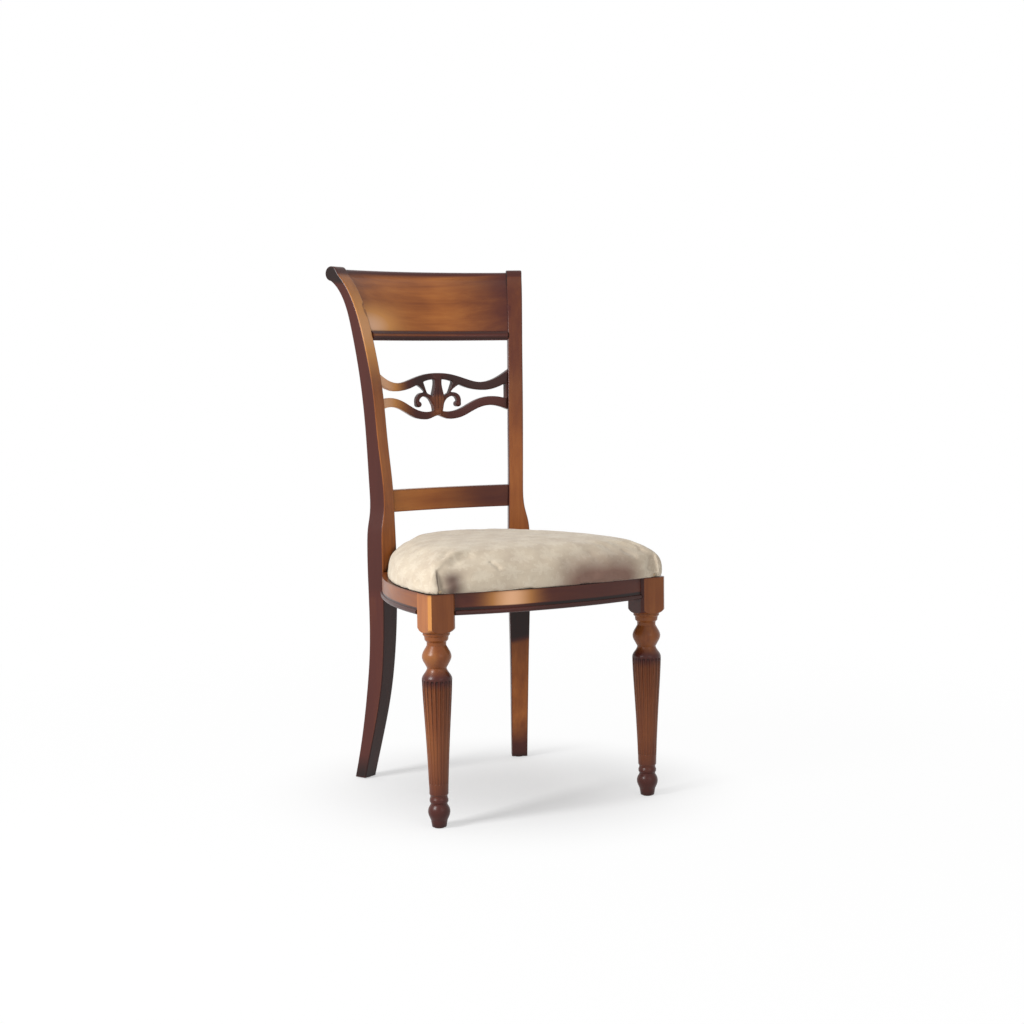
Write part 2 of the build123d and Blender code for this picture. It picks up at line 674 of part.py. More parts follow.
dust_cover = cut_by(dust_cover, staples + seat_screws)

# Every piece under its own name; left and right are seen from in front of the chair
pieces = {
    "front_leg_left": leg_left,
    "front_leg_right": mirrored(leg_left),
    "rear_post_left": post_left,
    "rear_post_right": mirrored(post_left),
    "front_apron": front_apron,
    "side_apron_left": side_apron_left,
    "side_apron_right": mirrored(side_apron_left),
    "back_apron": back_apron,
    "front_apron_bead": front_bead,
    "side_apron_bead_left": side_bead_left,
    "side_apron_bead_right": mirrored(side_bead_left),
    "crest_rail": crest,
    "crest_bead": crest_bead,
    "carved_splat": splat,
    "lower_back_rail": lower_rail,
    "corner_block_front_left": block_front_left,
    "corner_block_front_right": mirrored(block_front_left),
    "corner_block_rear_left": block_rear_left,
    "corner_block_rear_right": mirrored(block_rear_left),
    "corner_block_screws": all_of(screws_left + [mirrored(s) for s in screws_left]),
    "seat_fixing_screws": all_of(seat_screws),
    "rail_dowels": all_of(dowels_left + [mirrored(d) for d in dowels_left]),
    "seat_board": board,
    "seat_foam": foam,
    "seat_wadding": wadding,
    "seat_cover": cover,
    "dust_cover": dust_cover,
    "cover_staples": all_of(staples),
    "foot_glides": all_of(glides_left + [mirrored(g) for g in glides_left]),
}

# The origin goes to the middle of the footprint box, on the floor
box = Compound(children=[solid for shape in pieces.values() for solid in shape.solids()]).bounding_box()
to_origin = Pos(-(box.min.X + box.max.X) / 2, -(box.min.Y + box.max.Y) / 2, -box.min.Z)

os.makedirs("parts", exist_ok=True)
for name, shape in pieces.items():
    placed = all_of([to_origin * shape])
    export_step(placed, f"parts/{name}.step")
print("chair", [round(size, 1) for size in (box.size.X, box.size.Y, box.size.Z)])
print("moved back by", round((box.min.Y + box.max.Y) / 2, 2), "to its origin")
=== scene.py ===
import math

import bmesh
import bpy
from mathutils import Matrix, Vector, noise


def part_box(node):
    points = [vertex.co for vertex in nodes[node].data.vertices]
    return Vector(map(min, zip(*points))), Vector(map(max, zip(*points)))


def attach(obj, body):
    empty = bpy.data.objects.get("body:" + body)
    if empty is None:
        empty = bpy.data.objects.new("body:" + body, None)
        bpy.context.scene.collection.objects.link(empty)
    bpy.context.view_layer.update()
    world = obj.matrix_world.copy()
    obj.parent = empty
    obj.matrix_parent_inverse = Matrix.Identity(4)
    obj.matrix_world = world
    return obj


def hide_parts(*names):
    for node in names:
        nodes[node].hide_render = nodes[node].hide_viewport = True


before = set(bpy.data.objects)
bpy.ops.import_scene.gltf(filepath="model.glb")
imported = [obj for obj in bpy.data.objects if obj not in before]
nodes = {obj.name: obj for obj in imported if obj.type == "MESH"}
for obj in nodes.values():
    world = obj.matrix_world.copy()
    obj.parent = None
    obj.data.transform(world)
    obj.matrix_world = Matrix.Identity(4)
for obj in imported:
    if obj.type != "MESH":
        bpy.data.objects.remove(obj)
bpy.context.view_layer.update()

# Front legs
# Beech turned on a lathe and fluted by hand, each in one piece with its square block. The wood is stained
# to cherry, rubbed so that the stain stays dark in the hollows, and finished in satin varnish.


class Wire:
    """A shader socket that takes Python's arithmetic and adds the nodes for it."""

    def __init__(self, tree, socket):
        self.tree = tree
        self.socket = socket

    def math(self, operation, *others):
        return arithmetic(self.tree, operation, self, *others)

    def __add__(self, other):
        return self.math("ADD", other)

    def __radd__(self, other):
        return self.math("ADD", other)

    def __sub__(self, other):
        return self.math("SUBTRACT", other)

    def __rsub__(self, other):
        return arithmetic(self.tree, "SUBTRACT", other, self)

    def __mul__(self, other):
        return self.math("MULTIPLY", other)

    def __rmul__(self, other):
        return self.math("MULTIPLY", other)


def arithmetic(tree, operation, *values):
    """One Math node."""
    made = tree.nodes.new("ShaderNodeMath")
    made.operation = operation
    for slot, value in zip(made.inputs, values):
        plug(tree, slot, value)
    return Wire(tree, made.outputs[0])


def plug(tree, slot, value):
    """Link a wire, or set a plain value, on an input."""
    if isinstance(value, Wire):
        tree.links.new(value.socket, slot)
    else:
        slot.default_value = value


class Finish:
    """A material under construction: its tree, its surface shader and a way to add nodes."""

    def __init__(self, name):
        self.material = bpy.data.materials.new(name)
        self.material.use_nodes = True
        self.tree = self.material.node_tree
        self.surface = self.tree.nodes["Principled BSDF"]

    def node(self, kind, settings=None, output=0, **values):
        made = self.tree.nodes.new("ShaderNode" + kind)
        for key, value in (settings or {}).items():
            if key == "stops":
                ramp = made.color_ramp
                while len(ramp.elements) < len(value):
                    ramp.elements.new(0.5)
                for element, (place, colour) in zip(ramp.elements, value):
                    element.position = place
                    element.color = (*colour, 1)
            else:
                setattr(made, key, value)
        for key, value in values.items():
            slot = made.inputs[int(key[1:])] if key[0] == "i" and key[1:].isdigit() else made.inputs[key]
            plug(self.tree, slot, value)
        return Wire(self.tree, made.outputs[output])

    def blend(self, share, first, second):
        """The first colour where the share is 0, the second where it is 1."""
        return self.node("Mix", {"data_type": "RGBA"}, 2, i0=share, i6=first, i7=second)

    def rise(self, value, start, end):
        """0 before the start, 1 beyond the end, smooth in between."""
        return self.node("MapRange", {"interpolation_type": "SMOOTHSTEP"}, 0, i0=value, i1=start, i2=end)

    def band(self, value, middle, half):
        """1 in the middle of a band, 0 beyond its edges."""
        return 1 - self.rise((value - middle).math("ABSOLUTE"), 0.0, half)

    def place(self):
        """Where a point of the object lies, in metres in the chair's own frame."""
        return self.node("TexCoord", output=3)

    def facing(self):
        """Which way the surface faces at a point."""
        return self.node("TexCoord", output=1)

    def axes(self, vector):
        """The three parts of a vector."""
        return [self.node("SeparateXYZ", output=index, Vector=vector) for index in range(3)]

    def set(self, **values):
        for key, value in values.items():
            plug(self.tree, self.surface.inputs[key.replace("_", " ")], value)


wood_dark = (0.215, 0.058, 0.012)
wood_middle = (0.330, 0.102, 0.021)
wood_light = (0.440, 0.158, 0.035)
# Near black and maroon for painted shade, also for the stained hollows and darker edges; gold and pale for
# painted highlights.
patina_and_shade_black = (0.012, 0.004, 0.003, 1)
shade_and_tone_maroon = (0.070, 0.014, 0.009, 1)
highlight_gold = (0.62, 0.27, 0.075, 1)
highlight_pale = (0.84, 0.49, 0.30, 1)
hollow_reach = 0.014
edge_reach = 0.006


def wood(name, grain, shade_and_highlight):
    """Stained wood with its grain along one axis. From place and facing, the function given says how far the
    wood is darkened, mostly by painted shade (1 maroon, 2 black), and how far a painted highlight lightens it
    (1 golden, 2 pale). The hollows stay dark with staining, and the wood is darker along its edges."""
    made = Finish(name)
    stretch = {"X": (0.07, 1, 1), "Y": (1, 0.07, 1), "Z": (1, 1, 0.07)}[grain]
    place = made.place()
    along = made.node("Mapping", Vector=place, Scale=stretch)
    figure = made.node("TexNoise", Vector=along, Scale=34.0, Detail=5.0, Roughness=0.6, Distortion=0.6)
    streaks = made.node("TexNoise", Vector=along, Scale=150.0, Detail=3.0, Roughness=0.7)
    cloud = made.node("TexNoise", Vector=place, Scale=9.0, Detail=2.0)
    tone = figure * 0.4 + streaks * 0.2 + cloud * 0.4
    stops = ((0.38, wood_dark), (0.52, wood_middle), (0.68, wood_light))
    colour = made.node("ValToRGB", {"stops": stops}, Fac=tone)
    # The function gives painted shade and painted highlight, varied a little with the grain.
    deep, highlight_share = shade_and_highlight(made, made.axes(place), made.axes(made.facing()))
    uneven = 1.2 - figure * 0.4
    colour = made.blend(highlight_share * uneven, colour, highlight_gold)
    colour = made.blend(highlight_share - 1, colour, highlight_pale)
    deep = deep * uneven
    colour = made.blend(deep, colour, shade_and_tone_maroon)
    colour = made.blend(deep - 1, colour, patina_and_shade_black)
    open_sky = made.node("AmbientOcclusion", {"samples": 8}, 1, Distance=hollow_reach)
    colour = made.blend(made.rise(open_sky, 0.25, 0.95), patina_and_shade_black, colour)
    within = made.node("AmbientOcclusion", {"samples": 8, "inside": True}, 1, Distance=edge_reach)
    colour = made.blend(made.rise(within, 0.45, 0.85) * 0.55 + 0.45, shade_and_tone_maroon, colour)
    pores = made.node("TexNoise", Vector=along, Scale=420.0, Detail=3.0)
    relief = made.node("Bump", Strength=0.12, Distance=0.0005, Height=figure * 0.6 + pores)
    made.set(Base_Color=colour, Roughness=0.27 + streaks * 0.16, Normal=relief)
    made.surface.inputs["Specular IOR Level"].default_value = 0.22
    made.surface.inputs["Coat Weight"].default_value = 0.14
    made.surface.inputs["Coat Roughness"].default_value = 0.25
    return made.material


def dress(names, material):
    """Give CAD pieces a material."""
    for name in names:
        slots = nodes[name].data.materials
        slots.clear()
        slots.append(material)


# Places for the painted shade and highlights, in metres: a rise has a start and an end, a band has a middle
# and half its width.
middle_rise = (-0.01, 0.01)
block_rise = (0.355, 0.36)
ball_band = (0.313, 0.02)
shoulder_band = (0.272, 0.022)
shaft_rise = (0.08, 0.24)
toe_rise = (0.015, 0.10)


def leg_painted_light(made, place, facing):
    """Painted highlight on the left block's front left corner and its ball's left side, painted shade on the
    blocks' faces turned from the light and darkest on the right block's inner side; shoulders and shaft
    darker, toe nearly black.
    """
    x, z = place[0], place[2]
    in_block = made.rise(z, *block_rise)
    left_leg = 1 - made.rise(x, *middle_rise)
    leftward = made.rise(0 - facing[0], 0.25, 0.6)
    bevel = made.band(facing[0], -0.7, 0.28)
    gold = left_leg * (in_block * bevel * 0.9 + made.band(z, *ball_band) * leftward * 0.3)
    block = in_block * (1 - leftward) * 0.45 + in_block * (1 - left_leg) * leftward * 1.1
    shoulder = made.band(z, *shoulder_band) * 0.7
    toe = (1 - made.rise(z, *toe_rise)) * 0.55
    shaft = (1 - in_block) * 0.4 + (1 - made.rise(z, *shaft_rise)) * 0.25
    return block + shoulder + toe + shaft, gold


dress(["front_leg_left", "front_leg_right"], wood("leg_wood", "Z", leg_painted_light))

# Rear posts
# Each is sawn from one plank as a rear leg and an upright of the back, and scrolled over at the top.
# Painted highlight on the left post's front, painted shade on their sides, scrolls and feet and below the
# seat.
# Places for the posts' painted shade and highlight, in metres.
seat_rise = (0.37, 0.40)
foot_rise = (0.0, 0.10)
scroll_rise = (1.012, 1.028)
scroll_side_rise = (0.985, 1.01)
right_post_rise = (0.62, 0.86)
seat_shadow_rise = (0.215, 0.235)
seat_shadow_slope = 0.25
worn_post_band = (0.91, 0.13)


def post_painted_light(made, place, facing):
    """Painted shade: maroon on the side faces and the right post, black on the scrolls, the feet and the
    rear legs' fronts where the seat shades them. A painted highlight high on the left post's front.
    """
    x, z = place[0], place[2]
    left_post = 1 - made.rise(x, *middle_rise)
    right_post = 1 - left_post
    outward = made.rise(facing[0].math("ABSOLUTE"), 0.55, 0.8)
    frontward = made.rise(0 - facing[1], 0.3, 0.6)
    below_seat = 1 - made.rise(z, *seat_rise)
    scroll = made.rise(z, *scroll_rise) * 1.2 + outward * made.rise(z, *scroll_side_rise) * 2
    feet = (1 - made.rise(z, *foot_rise)) * (1.3 + left_post * 0.7)
    sides = outward * (1.25 - below_seat * 0.25)
    left_front = left_post * below_seat * frontward * (1 - outward) * 1.7
    right_top = right_post * (made.rise(z, *right_post_rise) * 0.55 + 0.3) * (1 - below_seat)
    shaded = made.rise(z - x * seat_shadow_slope, *seat_shadow_rise)
    right_shadow = right_post * below_seat * frontward * shaded * 1.8
    deep = scroll
    for layer in (feet, sides, left_front, right_top, right_shadow):
        deep = deep.math("MAXIMUM", layer)
    gold = left_post * (1 - outward) * made.band(z, *worn_post_band) * 1.3
    return deep, gold


dress(["rear_post_left", "rear_post_right"], wood("post_wood", "Z", post_painted_light))

# Seat rails
# Bowed rails, dowelled to the front legs and tenoned into the posts. A half-round bead is glued along the
# lower edge of each that shows.
# Places for the rails' painted highlight and shade, in metres.
highlight_rail_band = (-0.093, 0.085)
front_bead_rise = (0.3995, 0.4025)
side_bead_rise = (0.3975, 0.4005)


def front_rail_painted_light(made, place, facing):
    """Painted shade over nearly all the front rail, a painted highlight on one stretch left of the middle,
    and black painted shade along its bead.
    """
    highlight_share = made.band(place[0], *highlight_rail_band)
    bead = 1 - made.rise(place[2], *front_bead_rise)
    return (1 - highlight_share) * 0.95 + bead * 1.1, highlight_share * 1.7


def side_rail_tone_and_shade(made, place, facing):
    """Side rails toned a little darker, and black painted shade along their beads."""
    bead = 1 - made.rise(place[2], *side_bead_rise)
    return bead * 1.3 + 0.4, 0.0


dress(["front_apron", "back_apron", "front_apron_bead"], wood("rail_wood", "X", front_rail_painted_light))
dress(["side_apron_left", "side_apron_right", "side_apron_bead_left", "side_apron_bead_right"],
      wood("side_rail_wood", "Y", side_rail_tone_and_shade))

# Glue blocks and fastenings
# Unvarnished beech blocks and dowels inside the frame, countersunk zinc-plated screws, and wire staples.


def plain_wood(name, light, dark):
    """Planed wood without a finish, with short flecks along its grain."""
    made = Finish(name)
    along = made.node("Mapping", Vector=made.place(), Scale=(0.1, 1, 1))
    fleck = made.node("TexNoise", Vector=along, Scale=220.0, Detail=4.0, Roughness=0.7)
    broad = made.node("TexNoise", Vector=along, Scale=30.0, Detail=2.0)
    colour = made.node("ValToRGB", {"stops": ((0.35, dark), (0.65, light))}, Fac=fleck * 0.6 + broad * 0.4)
    relief = made.node("Bump", Strength=0.25, Distance=0.0004, Height=fleck)
    made.set(Base_Color=colour, Roughness=0.62 + fleck * 0.2, Normal=relief)
    return made.material


def plated_steel():
    """Bright zinc plating with a slight mottle."""
    made = Finish("zinc_plate")
    mottle = made.node("TexNoise", Vector=made.place(), Scale=600.0, Detail=2.0)
    stops = ((0.3, (0.50, 0.50, 0.53)), (0.7, (0.68, 0.68, 0.70)))
    colour = made.node("ValToRGB", {"stops": stops}, Fac=mottle)
    made.set(Base_Color=colour, Roughness=0.26 + mottle * 0.2, Metallic=1.0)
    return made.material


beech_light, beech_dark = (0.66, 0.47, 0.29), (0.50, 0.32, 0.18)
blocks = [f"corner_block_{end}_{side}" for end in ("front", "rear") for side in ("left", "right")]
dress([*blocks, "rail_dowels"], plain_wood("planed_beech", beech_light, beech_dark))
dress(["corner_block_screws", "seat_fixing_screws", "cover_staples"], plated_steel())

# Crest rail and lower back rail
# The crest is a broad curved board let in between the posts, a little behind their fronts and rolled over at
# its top, with a small moulding in its lower front edge. A plain rail joins the posts low in the back.
# Places for the painted shade and highlights on the crest, its bead and the lower back rail, in metres.
crest_right_rise = (0.0, 0.20)
crest_top_rise = (1.016, 1.029)
highlight_crest_across = (-0.165, 0.12)
highlight_crest_upward = (0.917, 0.06)
back_rail_dark_rise = (-0.08, 0.10)
back_rail_light_rise = (-0.17, -0.02)
highlight_bead_band = (0.899, 0.005)
bead_right_rise = (-0.1, 0.2)


def crest_painted_light(made, place, facing):
    """Painted shade towards the right-hand end and along the rolled top, a painted highlight low on the left.
    """
    x, z = place[0], place[2]
    right = made.rise(x, *crest_right_rise) * 1.05
    top = made.rise(z, *crest_top_rise) * 1.2
    gold = made.band(x, *highlight_crest_across) * made.band(z, *highlight_crest_upward) * 2
    return right.math("MAXIMUM", top), gold


def back_rail_painted_light(made, place, facing):
    """Painted shade towards the right-hand end, a painted highlight at the left."""
    dark = made.rise(place[0], *back_rail_dark_rise)
    light = 1 - made.rise(place[0], *back_rail_light_rise)
    return dark * 0.9, light * 0.3


def bead_painted_light(made, place, facing):
    """Painted shade over the bead, with a painted highlight along its rounded middle that fades to the right.
    """
    highlight_and_shade = made.band(place[2], *highlight_bead_band) * (1 - made.rise(place[0], *bead_right_rise) * 0.6)
    return 1.5 - highlight_and_shade * 1.1, 0.0


dress(["crest_rail"], wood("crest_wood", "X", crest_painted_light))
dress(["crest_bead"], wood("crest_bead_wood", "X", bead_painted_light))
dress(["lower_back_rail"], wood("back_rail_wood", "X", back_rail_painted_light))

# Carved splat
# Two wavy bars with a palmette and two volutes between them, fretted out of a curved board and rounded over
# with carving tools. The palmette's leaves are veined and the volutes end in small balls.
carving_grain = 0.0011
rounding_passes = 7
loose_corner = 0.00002


def joined_copy(names, title):
    """One new object out of copies of CAD pieces, with their loose triangles merged."""
    shape = bmesh.new()
    for name in names:
        shape.from_mesh(nodes[name].data)
    bmesh.ops.remove_doubles(shape, verts=shape.verts, dist=loose_corner)
    mesh = bpy.data.meshes.new(title)
    shape.to_mesh(mesh)
    shape.free()
    piece = bpy.data.objects.new(title, mesh)
    bpy.context.scene.collection.objects.link(piece)
    return piece


def bake_in(piece):
    """Turn a piece's modifiers into its mesh."""
    evaluated = piece.evaluated_get(bpy.context.evaluated_depsgraph_get())
    finished = bpy.data.meshes.new_from_object(evaluated)
    piece.modifiers.clear()
    piece.data = finished


def remesh(piece, grain):
    """Rebuild a piece as one closed skin of even squares."""
    skin = piece.modifiers.new("skin", "REMESH")
    skin.mode = "VOXEL"
    skin.voxel_size = grain
    bake_in(piece)


def off_line(point, line):
    """Distance from a point to a broken line, and how far along the line the nearest spot is, from 0 to 1."""
    best, share = math.inf, 0
    for index, (start, end) in enumerate(zip(line, line[1:])):
        along = end - start
        reach = min(max((point - start).dot(along) / along.length_squared, 0), 1)
        gap = (point - start - along * reach).length
        if gap < best:
            best, share = gap, (index + reach) / (len(line) - 1)
    return best, share


def smooth(piece):
    """Shade a piece without facets."""
    piece.data.polygons.foreach_set("use_smooth", [True] * len(piece.data.polygons))


splat = joined_copy(["carved_splat"], "splat_carving")
remesh(splat, carving_grain)
# Each vein has its points, x and z, then its width and its depth.
veins = [
    ([(0, 0.742), (0, 0.765), (0, 0.808)], 0.0016, 0.0016),
    ([(0.006, 0.745), (0.007, 0.770), (0.0045, 0.806)], 0.0012, 0.0009),
    ([(0.022, 0.776), (0.031, 0.789), (0.042, 0.801)], 0.0014, 0.0012),
]
ball_places = [(0.0452, 0.7575), (0, 0.741)]
ball_radius = 0.0065
ball_rise = 0.0028
carved_facing = 0.2
back_middle_y = -0.19201
vein_taper = (4, 0.2)


def groove(spot, line, width, depth, taper):
    """How deep a groove with a rounded section is at a spot. The taper says how fast it deepens from its
    ends, and which share of its depth it has there."""
    gap, share = off_line(spot, line)
    if gap > 3 * width:
        return 0.0
    speed, least = taper
    return depth * math.exp(-(gap / width) ** 2) * min(1, speed * share * (1 - share) + least)


shape = bmesh.new()
shape.from_mesh(splat.data)
for turn in range(rounding_passes):
    bmesh.ops.smooth_vert(shape, verts=shape.verts, factor=0.5,
                          use_axis_x=True, use_axis_y=True, use_axis_z=True)
shape.normal_update()
vein_lines = [([Vector(point) for point in points], width, depth) for points, width, depth in veins]
for vert in shape.verts:
    out = Vector((-vert.co.x, back_middle_y - vert.co.y, 0)).normalized()
    facing = vert.normal.dot(out)
    if facing < carved_facing:
        continue
    spot = Vector((abs(vert.co.x), vert.co.z))
    push = -sum(groove(spot, *vein, vein_taper) for vein in vein_lines)
    for place in ball_places:
        gap = (spot - Vector(place)).length
        if gap < ball_radius:
            push += ball_rise * math.sqrt(1 - (gap / ball_radius) ** 2)
    vert.co += out * push * facing
shape.to_mesh(splat.data)
shape.free()
smooth(splat)

# Places for the splat's painted shade and highlight, in metres.
palmette_band = (0.0, 0.03)
splat_dark_rise = (-0.11, -0.04)
splat_pale_rise = (-0.14, -0.06)
upper_bar_rise = (0.770, 0.785)


def splat_painted_light(made, place, facing):
    """Painted shade, black on the bars towards the right and maroon on the palmette, and a painted highlight
    at the bars' left-hand end.
    """
    x, z = place[0], place[2]
    heart = made.band(x, *palmette_band)
    right = made.rise(x, *splat_dark_rise)
    upper = made.rise(z, *upper_bar_rise)
    pale = 1 - made.rise(x, *splat_pale_rise)
    return right * (1.1 + upper * 0.6) - heart * 0.5, pale * 1.8


splat.data.materials.clear()
splat.data.materials.append(wood("carving_wood", "X", splat_painted_light))
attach(splat, "root")
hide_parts("carved_splat")

# Seat pad
# Foam and wadding on a plywood board, under a cream damask cover that is pulled down over the rails' top
# edge, pleated at the two front corners and cut away around the posts.
pad_grain = 0.005
pad_shrink = 0.0035
pad_cap = 0.0045
pad_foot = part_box("seat_cover")[0].z
pad_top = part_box("seat_cover")[1].z
flat_height = 0.001
held_height = 0.006
cloth_pressure = 3
cloth_frames = 20

pad = joined_copy(["seat_cover", "seat_wadding", "seat_foam", "seat_board"], "seat_pad")
remesh(pad, pad_grain)


def move_verts(piece, mover):
    """Move every vertex by what mover gives for its place and normal."""
    shape = bmesh.new()
    shape.from_mesh(piece.data)
    shape.normal_update()
    moves = [mover(vert.co, vert.normal) for vert in shape.verts]
    for vert, move in zip(shape.verts, moves):
        vert.co += move
    shape.to_mesh(piece.data)
    shape.free()


def draw_in(place, normal):
    """Let the pad's sides and top in, but not its flat foot."""
    if place.z < pad_foot + flat_height:
        return Vector((0, 0, 0))
    return -pad_shrink * normal


def blow_up(piece):
    """Swell the cover with cloth under pressure, by no more than the cap, and keep the result."""
    start = [vert.co.copy() for vert in piece.data.vertices]
    held = piece.vertex_groups.new(name="held")
    foot = [index for index, place in enumerate(start) if place.z < pad_foot + held_height]
    held.add(foot, 1.0, "REPLACE")
    cloth = piece.modifiers.new("cloth", "CLOTH")
    cloth.settings.vertex_group_mass = "held"
    cloth.settings.use_pressure = True
    cloth.settings.uniform_pressure_force = cloth_pressure
    cloth.settings.effector_weights.gravity = 0
    cloth.settings.quality = 5
    cloth.point_cache.frame_start = 1
    cloth.point_cache.frame_end = cloth_frames
    for step in range(1, cloth_frames + 1):
        bpy.context.scene.frame_set(step)
    settled = piece.evaluated_get(bpy.context.evaluated_depsgraph_get()).data
    moves = [vert.co - place for vert, place in zip(settled.vertices, start)]
    piece.modifiers.clear()
    piece.vertex_groups.clear()
    for vert, place, move in zip(piece.data.vertices, start, moves):
        if move.length > pad_cap:
            move = move.normalized() * pad_cap
        vert.co = place + move
    bpy.context.scene.frame_set(1)


move_verts(pad, draw_in)
blow_up(pad)
finer = pad.modifiers.new("finer", "SUBSURF")
finer.levels = 1
finer.render_levels = 1
bake_in(pad)

pleat_x = 0.233
pleat_height = 0.048
pleat_back_y = -0.22
fold_rise, fold_width = 0.0026, 0.009
tuck_depth, tuck_width = 0.0055, 0.016
tuck_step = 0.0025
sewn_height = 0.0015
loose_height = 0.02
broad_lumps, fine_lumps = (14, 0.0022), (38, 0.0009)
fine_shift = Vector((7, 3, 1))
crease_taper = (5, 0.15)
# Each crease has its points, then its width and its depth.
creases = [
    ([(-0.127, -0.265, 0.487), (-0.112, -0.285, 0.470)], 0.0045, 0.0032),
    ([(-0.208, -0.264, 0.479), (-0.176, -0.248, 0.492), (-0.145, -0.240, 0.495)], 0.007, 0.0028),
    ([(0.160, -0.252, 0.490), (0.175, -0.262, 0.483), (0.191, -0.271, 0.470)], 0.006, 0.0028),
    ([(0.198, -0.220, 0.495), (0.205, -0.240, 0.488), (0.210, -0.259, 0.480)], 0.006, 0.0028),
    ([(0.226, -0.262, 0.466), (0.220, -0.272, 0.455), (0.210, -0.276, 0.443)], 0.006, 0.0026),
    ([(0.018, -0.285, 0.475), (0.060, -0.276, 0.484), (0.100, -0.262, 0.487)], 0.010, 0.0018),
]
crease_lines = []
for points, width, depth in creases:
    on_cover = [pad.closest_point_on_mesh(point)[1] for point in points]
    crease_lines.append((on_cover, width, depth))


def sew(place, normal):
    """Pleats at the front corners, creases that run from them, and the softness of hand-laid wadding."""
    height = place.z - pad_foot
    if height < sewn_height:
        return Vector((0, 0, 0))
    push = -sum(groove(place, *crease, crease_taper) for crease in crease_lines)
    if place.y < pleat_back_y and height < pleat_height:
        fade = 1 - (height / pleat_height) ** 2
        beside = abs(place.x) - pleat_x
        if beside > 0:
            push += fold_rise * fade * math.exp(-(beside / fold_width) ** 2)
        else:
            push -= tuck_depth * fade * math.exp(-(beside / tuck_width) ** 2) * min(1, -beside / tuck_step)
    lump = noise.noise(place * broad_lumps[0]) * broad_lumps[1]
    lump += noise.noise(place * fine_lumps[0] + fine_shift) * fine_lumps[1]
    return normal * (push + lump * min(1, height / loose_height))


move_verts(pad, sew)
smooth(pad)

# The cloth's own pattern runs over the pad as it was cut: flat on top, and down the sides.
crown_depth = 0.012
cloth_map = pad.data.uv_layers.new(name="cloth")
spread = []
for vert in pad.data.vertices:
    flat = Vector((vert.normal.x, vert.normal.y))
    drop = max(pad_top - crown_depth - vert.co.z, 0) * flat.length
    spread.append((vert.co.x + flat.x * drop, vert.co.y + flat.y * drop))
for loop in pad.data.loops:
    cloth_map.data[loop.index].uv = spread[loop.vertex_index]

repeat_width, repeat_length = 0.062, 0.088
thread_waves = 5200
ground_dark, ground_middle, ground_light = (0.51, 0.415, 0.315), (0.59, 0.495, 0.375), (0.66, 0.57, 0.44)
figure_cream = (0.80, 0.72, 0.58, 1)
# Browns for the cover's painted shade, and where it lies, in metres.
shade_brown = (0.235, 0.135, 0.100, 1)
pleat_shade_brown = (0.13, 0.08, 0.06, 1)
cover_front_rise = (0.19, 0.26)
shade_left_rise, shade_right_rise = (-0.03, 0.06), (0.15, 0.21)
shade_height_rise = (0.430, 0.500)
pleat_shade_band = (-0.206, 0.032)
pleat_shade_height_rise = (0.452, 0.476)
pleat_fold_shade_band = (-0.2325, 0.0045)
pleat_fold_shade_height_rise = (0.455, 0.475)


def damask():
    """Cream damask: leaves in satin on a matt ground, in rows that are set half a repeat apart."""
    made = Finish("cream_damask")
    place = made.node("UVMap", {"uv_map": "cloth"})
    across, along = made.axes(place)[:2]

    def motif(shift):
        """One leaf spray in each repeat."""
        u = (across * (1 / repeat_width) + shift).math("FRACT") - 0.5
        v = (along * (1 / repeat_length) + shift).math("FRACT") - 0.5
        reach = (u * u + v * v * 2.0).math("SQRT")
        turn = u.math("ABSOLUTE").math("ARCTAN2", v)
        petals = (turn * 7.0).math("COSINE") * 0.09 + (turn * 3.0).math("COSINE") * 0.05 + 0.30
        leaf = made.rise(petals - reach, 0.0, 0.03)
        vein = made.rise((petals - reach - 0.09).math("ABSOLUTE"), 0.0, 0.03)
        return leaf * vein

    figure = motif(0.0).math("MAXIMUM", motif(0.5))
    weave = (across * thread_waves).math("SINE") * (along * thread_waves).math("SINE")
    thick = made.node("Mapping", Vector=place, Scale=(1, 0.12, 1))
    slub = made.node("TexNoise", Vector=thick, Scale=700.0, Detail=3.0)
    wear = made.node("TexNoise", Vector=place, Scale=16.0, Detail=3.0, Roughness=0.6)
    stops = ((0.30, ground_dark), (0.5, ground_middle), (0.70, ground_light))
    ground = made.node("ValToRGB", {"stops": stops}, Fac=wear * 0.75 + slub * 0.25)
    colour = made.blend(figure * 0.25, ground, figure_cream)
    x, y, z = made.axes(made.place())
    # Painted shade: a brown patch low on the front, right of the middle.
    front = made.rise(0 - y, *cover_front_rise)
    low = 1 - made.rise(z, *shade_height_rise)
    highlight_and_shade = made.rise(x, *shade_left_rise) * (1 - made.rise(x, *shade_right_rise)) * front * low
    colour = made.blend(highlight_and_shade * (0.9 + wear * 0.5), colour, shade_brown)
    # Painted shade, darker brown, in the dip beside the left front pleat and along its fold.
    pleat_shade = made.band(x, *pleat_shade_band) * front * (1 - made.rise(z, *pleat_shade_height_rise))
    pleat_fold_shade = made.band(x, *pleat_fold_shade_band) * front * (1 - made.rise(z, *pleat_fold_shade_height_rise))
    colour = made.blend(pleat_shade.math("MAXIMUM", pleat_fold_shade), colour, pleat_shade_brown)
    height = weave * 0.25 + slub * 0.7 + figure * 0.4
    relief = made.node("Bump", Strength=0.35, Distance=0.0006, Height=height)
    made.set(Base_Color=colour, Roughness=0.86 - figure * 0.14, Normal=relief)
    made.surface.inputs["Sheen Weight"].default_value = 0.25
    made.surface.inputs["Sheen Roughness"].default_value = 0.4
    return made.material


pad.data.materials.clear()
pad.data.materials.append(damask())
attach(pad, "root")
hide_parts("seat_cover", "seat_wadding", "seat_foam")
birch_light, birch_dark = (0.64, 0.50, 0.33), (0.52, 0.37, 0.22)
dress(["seat_board"], plain_wood("birch_plywood", birch_light, birch_dark))

